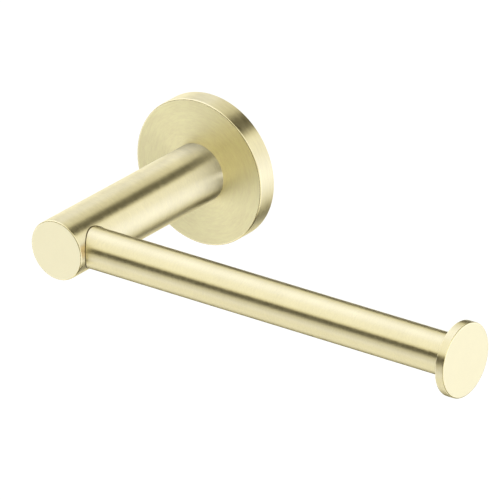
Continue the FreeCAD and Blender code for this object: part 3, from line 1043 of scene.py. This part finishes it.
@dataclass
class Post:
    """The solid bar that stands out of the rose, with its screw, washer and dowel."""

    place: TurnedPlace
    gold: GoldSet
    front_round: float = 0.4 * MM
    screw_radius: float = 2.5 * MM
    hole_run_out: float = 1.0 * MM
    drill_point: float = 0.6
    bush_seat_depth: float = 2.0 * MM
    seam_shadow_width: float = 0.26 * MM
    screw_pitch: float = 0.8 * MM

    def __post_init__(self) -> None:
        """Reads the bar's size and the places of what it holds from the frame."""
        low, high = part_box("post")
        self.radius = (high.x - low.x) / 2.0
        self.back, self.front = -high.y, -low.y
        self.arm_low, self.arm_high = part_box("arm_tube")
        self.arm_y = (self.arm_low.y + self.arm_high.y) / 2.0

    def bores(self) -> list[Bore]:
        """The holes for the post screw, dowel, bush and tie rod, worked out from what they hold.

        Returns:
            The holes.
        """
        backward, inward = Vector((0.0, -1.0, 0.0)), Vector((-1.0, 0.0, 0.0))
        behind = Vector((0.0, -self.back, 0.0))
        screw_depth = -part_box("post_screw")[0].y - self.back + self.hole_run_out
        dowel_low, dowel_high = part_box("post_dowel")
        dowel_place = behind + Vector((0.0, 0.0, (dowel_low.z + dowel_high.z) / 2.0))
        dowel_depth = -dowel_low.y - self.back + self.hole_run_out
        bush_low, bush_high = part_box("arm_bush")
        rod_low, rod_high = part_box("tie_rod")
        rod_radius = (rod_high.z - rod_low.z) / 2.0
        seat_radius = (bush_high.z - bush_low.z) / 2.0
        seat = Vector((self.radius - self.bush_seat_depth, self.arm_y, 0.0))
        rod_depth = seat.x - rod_low.x + self.hole_run_out
        outside = Vector((self.radius, self.arm_y, 0.0))
        return [
            Bore(behind, backward, self.screw_radius, screw_depth, self.drill_point * self.screw_radius),
            Bore(dowel_place, backward, (dowel_high.x - dowel_low.x) / 2.0, dowel_depth),
            Bore(outside, inward, seat_radius, self.bush_seat_depth),
            Bore(seat, inward, rod_radius, rod_depth, self.drill_point * rod_radius),
        ]

    def bar(self) -> bpy.types.Object:
        """Makes the bar: a turned outline from pole to pole, drilled for what it holds.

        Returns:
            The finished object.
        """
        lathe = Lathe(Vector((0.0, 0.0, 0.0)), Vector((0.0, -1.0, 0.0)), Vector((0.0, 0.0, 1.0)))
        corners = [
            Corner(0.0, self.back),
            Corner(self.radius, self.back),
            Corner(self.radius, self.front, self.front_round),
            Corner(0.0, self.front),
        ]
        rows = outline(corners, False, 3.0 * MM)
        piece = drilled(grid_mesh("post_bar", turned_grid(lathe, rows), False), self.bores())
        sort_faces(piece, lathe, self.front, self.radius, self.front_round)
        return piece

    def build(self) -> None:
        """Builds and dresses the bar, then dresses its screw, washer and dowel."""
        arm_radius = (self.arm_high.z - self.arm_low.z) / 2.0
        # Painted shadow line where the arm meets the post, only on the arm's side of the bar.
        seam_shadow = SeamShadow(Turning.ARM, arm_radius, self.seam_shadow_width, self.radius / 2.0)
        bar = stand_for(self.bar(), "post")
        dress(
            bar,
            self.gold.sides.material("gold_post", self.place, seam_shadow),
            self.gold.end.material("gold_post_face", self.place),
            self.gold.edges.material("gold_post_edge", self.place),
        )
        low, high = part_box("post_screw")
        shank = (low.y, low.y + 0.8 * (high.y - low.y))
        thread = Thread(
            (low + high) / 2.0, Vector((0.0, 1.0, 0.0)), self.screw_radius, self.screw_pitch, (shank,)
        )
        dress(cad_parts["post_screw"], PlatedSteel().material("steel_post_screw", thread))
        dress(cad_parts["post_washer"], PlatedSteel(roughness=0.26).material("steel_washer"))
        dress(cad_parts["post_dowel"], PlatedSteel(roughness=0.2).material("steel_dowel"))


@dataclass
class RollArm:
    """The arm tube that carries the roll, with its end disc, bush and tie rod."""

    place: TurnedPlace
    gold: GoldSet
    tube_wall: float = 1.5 * MM
    saddle_break: float = 0.2 * MM
    end_break: float = 0.08 * MM
    disc_round: float = 0.4 * MM
    spigot_gap: float = 0.05 * MM
    lead_chamfer: float = 0.4 * MM
    rod_hole_run_out: float = 1.0 * MM
    drill_point: float = 0.6
    seam_shadow_width: float = 0.26 * MM
    rod_pitch: float = 1.0 * MM
    rod_thread_length: float = 24.0 * MM

    def __post_init__(self) -> None:
        """Reads the tube's, the disc's and the post's sizes from the frame."""
        low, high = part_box("arm_tube")
        self.radius = (high.z - low.z) / 2.0
        self.end = high.x
        self.axis_y = (low.y + high.y) / 2.0
        post_low, post_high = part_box("post")
        self.post_radius = (post_high.x - post_low.x) / 2.0
        self.lathe = Lathe(
            Vector((0.0, self.axis_y, 0.0)), Vector((1.0, 0.0, 0.0)), Vector((0.0, 0.0, 1.0))
        )

    def tube(self) -> bpy.types.Object:
        """Makes the tube, its near end cut to a saddle that fits the post.

        The closed outline of the wall is carried round the axis. A point at radius r and angle a
        starts from the post's skin, s = sqrt(R^2 - (r cos a)^2), where R is the post's radius, and a
        place w on the outline, counted from the saddle, lies at x = s + w * (end - s) / (end - R).

        Returns:
            The finished object.
        """
        bore = self.radius - self.tube_wall
        length = self.end - self.post_radius
        corners = [
            Corner(bore, 0.0),
            Corner(self.radius, 0.0, self.saddle_break),
            Corner(self.radius, length, self.end_break),
            Corner(bore, length),
        ]
        rows = outline(corners, True, 3.0 * MM)
        angle = np.linspace(0.0, 2.0 * math.pi, AROUND, endpoint=False)[None, :]
        radius = np.repeat(rows[:, :1], AROUND, axis=1)
        start = np.sqrt(self.post_radius**2 - (radius * np.cos(angle)) ** 2)
        along = start + rows[:, 1:] * (self.end - start) / length
        grid = self.lathe.place(radius, along, np.repeat(angle, len(rows), axis=0))
        return grid_mesh("arm_sleeve", grid, True)

    def disc(self) -> bpy.types.Object:
        """Makes the end disc with its spigot and the blind hole for the tie rod.

        Returns:
            The finished object.
        """
        low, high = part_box("end_disc")
        disc_radius = (high.z - low.z) / 2.0
        spigot = self.radius - self.tube_wall - self.spigot_gap
        rod_low, rod_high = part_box("tie_rod")
        rod_radius = (rod_high.z - rod_low.z) / 2.0
        hole_end = rod_high.x + self.rod_hole_run_out
        corners = [
            Corner(0.0, hole_end + self.drill_point * rod_radius),
            Corner(rod_radius, hole_end),
            Corner(rod_radius, low.x),
            Corner(spigot - self.lead_chamfer, low.x),
            Corner(spigot, low.x + self.lead_chamfer),
            Corner(spigot, self.end),
            Corner(disc_radius, self.end, self.disc_round),
            Corner(disc_radius, high.x, self.disc_round),
            Corner(0.0, high.x),
        ]
        rows = outline(corners, False, 2.0 * MM)
        piece = grid_mesh("end_stop", turned_grid(self.lathe, rows), False)
        sort_faces(piece, self.lathe, high.x, disc_radius, self.disc_round)
        return piece

    def build(self) -> None:
        """Builds and dresses the tube and the disc, then dresses the bush and the tie rod."""
        # Painted shadow line where the tube meets the post.
        seam_shadow = SeamShadow(Turning.POST, self.post_radius, self.seam_shadow_width)
        tube = stand_for(self.tube(), "arm_tube")
        dress(tube, self.gold.sides.material("gold_arm", self.place, seam_shadow))
        tube.visible_glossy = False
        disc = stand_for(self.disc(), "end_disc")
        dress(
            disc,
            self.gold.sides.material("gold_disc_rim", self.place),
            self.gold.end.material("gold_disc_face", self.place),
            self.gold.edges.material("gold_disc_edge", self.place),
        )
        dress(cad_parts["arm_bush"], TurnedBrass().material("brass_bush", self.place))
        low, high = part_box("tie_rod")
        runs = ((low.x, low.x + self.rod_thread_length), (high.x - self.rod_thread_length, high.x))
        thread = Thread(
            (low + high) / 2.0, Vector((1.0, 0.0, 0.0)), (high.z - low.z) / 2.0, self.rod_pitch, runs
        )
        dress(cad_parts["tie_rod"], PlatedSteel().material("steel_tie_rod", thread))


# ---------------------------------------------------------------------------------------------------
# Studio
# ---------------------------------------------------------------------------------------------------


@dataclass(frozen=True)
class Card:
    """A long soft-edged card in the room, placed by where its reflection shows on a round piece.

    It runs along the piece's own direction. The place where it shows is the angle round the piece
    from the top, in degrees: towards +X on the post and towards -Y on the arm. Its breadth there is
    in degrees too. A lamp has a positive strength and a black flag a negative one. Its reach is how
    far it fades along itself, and its shift moves its middle along itself, both as parts of a unit
    direction.
    """

    runs: Turning
    shows_at: float
    breadth: float
    strength: float
    reach: float = 0.5
    shift: float = 0.0


@dataclass
class Studio:
    """Plain soft light from a white room with a few dark cards, a pale floor and the camera."""

    base_level: float = 1.05
    least_level: float = 0.03
    ceiling_flag: Card = Card(
        Turning.POST, shows_at=37.5, breadth=5.5, strength=-5.0, reach=0.8, shift=0.2
    )
    shade: Card = Card(Turning.POST, shows_at=22.0, breadth=10.0, strength=-0.4)
    side_lamp: Card = Card(Turning.POST, shows_at=78.0, breadth=10.0, strength=0.3)
    floor_flag: Card = Card(
        Turning.POST, shows_at=107.0, breadth=6.0, strength=-2.0, reach=1.2, shift=-0.5
    )
    wall_flag: Card = Card(
        Turning.ARM, shows_at=-8.0, breadth=5.0, strength=-14.0, reach=0.18, shift=0.2
    )
    ceiling_lamp: Card = Card(Turning.ARM, shows_at=22.0, breadth=12.0, strength=0.4)
    front_flag: Card = Card(Turning.ARM, shows_at=71.0, breadth=5.5, strength=-2.4, reach=1.0)
    front_shade: Card = Card(
        Turning.ARM, shows_at=82.0, breadth=14.0, strength=-1.3, reach=0.3, shift=0.5
    )
    front_lamp: Card = Card(Turning.ARM, shows_at=93.0, breadth=6.0, strength=0.25)
    low_flag: Card = Card(
        Turning.ARM, shows_at=136.0, breadth=6.0, strength=-8.0, reach=0.3, shift=-0.15
    )
    dark_tint: tuple[float, float, float] = (1.0, 0.78, 0.3)
    middle_tint: tuple[float, float, float] = (1.0, 0.97, 0.76)
    bright_tint: tuple[float, float, float] = (1.0, 1.03, 1.16)
    floor_drop: float = 0.35
    floor_size: float = 12.0
    floor_paint: tuple[float, float, float, float] = (0.5, 0.5, 0.5, 1.0)
    floor_glow: float = 0.65
    sensor_width: float = 36.0
    azimuth: float = 37.1
    elevation: float = 24.6
    roll: float = -0.8
    aside: float = -23.9 * MM
    above: float = 4.5 * MM
    distance: float = 2120.0 * MM
    lens: float = 490.0

    def cards(self) -> tuple[Card, ...]:
        """Returns every lamp and flag in the room."""
        return (
            self.ceiling_flag,
            self.shade,
            self.side_lamp,
            self.floor_flag,
            self.wall_flag,
            self.ceiling_lamp,
            self.front_flag,
            self.front_shade,
            self.front_lamp,
            self.low_flag,
        )

    def ahead(self) -> Vector:
        """Returns the direction in which the camera looks."""
        turn, tilt = math.radians(self.azimuth), math.radians(self.elevation)
        return Vector((-math.sin(turn) * math.cos(tilt), math.cos(turn) * math.cos(tilt), -math.sin(tilt)))

    def light(self) -> None:
        """Lights the room: an even level plus the cards, warmer where it is dark.

        The camera itself sees plain white behind the holder.
        """
        world = bpy.data.worlds.new("soft_white_room")
        bpy.context.scene.world = world
        world.use_nodes = True
        nodes = Nodes(world.node_tree)
        x, y, z = nodes.split(nodes.add("ShaderNodeTexCoord").outputs["Generated"])
        bearings = {
            Turning.POST: (x.math("ARCTAN2", z), y),
            Turning.ARM: ((y * -1.0).math("ARCTAN2", z), x),
        }
        level: Feed = self.base_level
        for card in self.cards():
            level = self.card_light(card, *bearings[card.runs]) + level
        level = level.math("MAXIMUM", self.least_level)
        tint = nodes.blend(level.ease(0.0, 0.7), (*self.dark_tint, 1.0), (*self.middle_tint, 1.0))
        tint = nodes.blend(level.ease(0.9, 1.2), tint, (*self.bright_tint, 1.0))
        seen = nodes.add("ShaderNodeLightPath").outputs["Is Camera Ray"]
        room = nodes.add("ShaderNodeBackground", None, {0: tint, 1: level})
        plain = nodes.add("ShaderNodeBackground", None, {0: (1.0, 1.0, 1.0, 1.0), 1: 1.0})
        both = nodes.add("ShaderNodeMixShader", None, {0: seen, 1: room.outputs[0], 2: plain.outputs[0]})
        nodes.add("ShaderNodeOutputWorld", None, {0: both.outputs[0]})

    def card_light(self, card: Card, bearing: Signal, along: Signal) -> Signal:
        """What a card adds in each direction: strength * exp(-(off / width)^2 - (past / reach)^2).

        A mirror turns twice as fast as its reflection's place, so the card's bearing is twice the
        place where it shows, less the camera's bearing, and its width is twice its breadth. Its
        middle is where the camera's ray goes along the piece after the mirror, plus its own shift.

        Args:
            card: The card.
            bearing: The direction's bearing about the card, in radians.
            along: The direction's part along the card.

        Returns:
            The light added, below 0 for a black card.
        """
        ahead = self.ahead()
        seen_from = {
            Turning.POST: (math.atan2(-ahead.x, -ahead.z), ahead.y),
            Turning.ARM: (math.atan2(ahead.y, -ahead.z), ahead.x),
        }
        camera_bearing, middle = seen_from[card.runs]
        card_bearing = 2.0 * math.radians(card.shows_at) - camera_bearing
        off = (bearing - card_bearing).math("WRAP", math.pi, -math.pi)
        off = off / math.radians(2.0 * card.breadth)
        past = (along - (middle + card.shift)) / card.reach
        return ((off * off + past * past) * -1.0).math("EXPONENT") * card.strength

    def floor(self) -> None:
        """Lays a pale floor below the holder, clear when looked at from underneath."""
        half = self.floor_size / 2.0
        corners = [(-half, -half), (half, -half), (half, half), (-half, half)]
        mesh = bpy.data.meshes.new("floor")
        mesh.from_pydata([(x, y, -self.floor_drop) for x, y in corners], [], [(0, 1, 2, 3)])
        floor = bpy.data.objects.new("floor", mesh)
        bpy.context.scene.collection.objects.link(floor)
        material, nodes = new_material("pale_floor")
        paint = nodes.add("ShaderNodeBsdfDiffuse", None, {0: self.floor_paint})
        glow = nodes.add("ShaderNodeEmission", None, {0: (1.0, 1.0, 1.0, 1.0), 1: self.floor_glow})
        lit = nodes.add("ShaderNodeAddShader", None, {0: paint.outputs[0], 1: glow.outputs[0]})
        clear = nodes.add("ShaderNodeBsdfTransparent")
        below = nodes.add("ShaderNodeNewGeometry").outputs["Backfacing"]
        both = nodes.add("ShaderNodeMixShader", None, {0: below, 1: lit.outputs[0], 2: clear.outputs[0]})
        nodes.add("ShaderNodeOutputMaterial", None, {0: both.outputs[0]})
        mesh.materials.append(material)
        floor.visible_glossy = False
        floor.visible_diffuse = False
        floor.visible_shadow = False

    def camera(self) -> None:
        """Sets the camera up to the left front of the holder, looking down at it through a long lens."""
        roll = math.radians(self.roll)
        ahead = self.ahead()
        level = ahead.cross(Vector((0.0, 0.0, 1.0))).normalized()
        upright = level.cross(ahead)
        right = math.cos(roll) * level + math.sin(roll) * upright
        up = math.cos(roll) * upright - math.sin(roll) * level
        target = Vector((CAD_BOX[1].x / 2.0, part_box("post")[0].y / 2.0, 0.0))
        place = target - self.distance * ahead + self.aside * right + self.above * up
        data = bpy.data.cameras.new("camera")
        data.sensor_width = self.sensor_width
        data.lens = self.lens
        data.clip_start = 0.05
        data.clip_end = 100.0
        camera = bpy.data.objects.new("camera", data)
        bpy.context.scene.collection.objects.link(camera)
        turned = Matrix((right, up, -ahead)).transposed().to_4x4()
        turned.translation = place
        camera.matrix_world = turned
        bpy.context.scene.camera = camera

    def build(self) -> None:
        """Sets up the light, the floor and the camera, with plain display colours."""
        self.light()
        self.floor()
        self.camera()
        bpy.context.scene.view_settings.view_transform = "Standard"


# ---------------------------------------------------------------------------------------------------


def write_sizes() -> None:
    """Updates the view layer, so that every object's place is current."""
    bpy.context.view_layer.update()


def main() -> None:
    """Builds the holder's sub-assemblies in order, then the studio round them."""
    logging.basicConfig(level=logging.INFO, format="%(name)s: %(message)s")
    low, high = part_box("arm_tube")
    arm_y = (low.y + high.y) / 2.0
    round_post = TurnedPlace(Turning.POST, 0.0, arm_y)
    round_arm = TurnedPlace(Turning.ARM, 0.0, arm_y)
    gold = GoldSet()
    WallPlate(round_post, gold).build()
    Post(round_post, gold).build()
    RollArm(round_arm, gold).build()
    Studio().build()
    write_sizes()


if __name__ == "__main__":
    main()
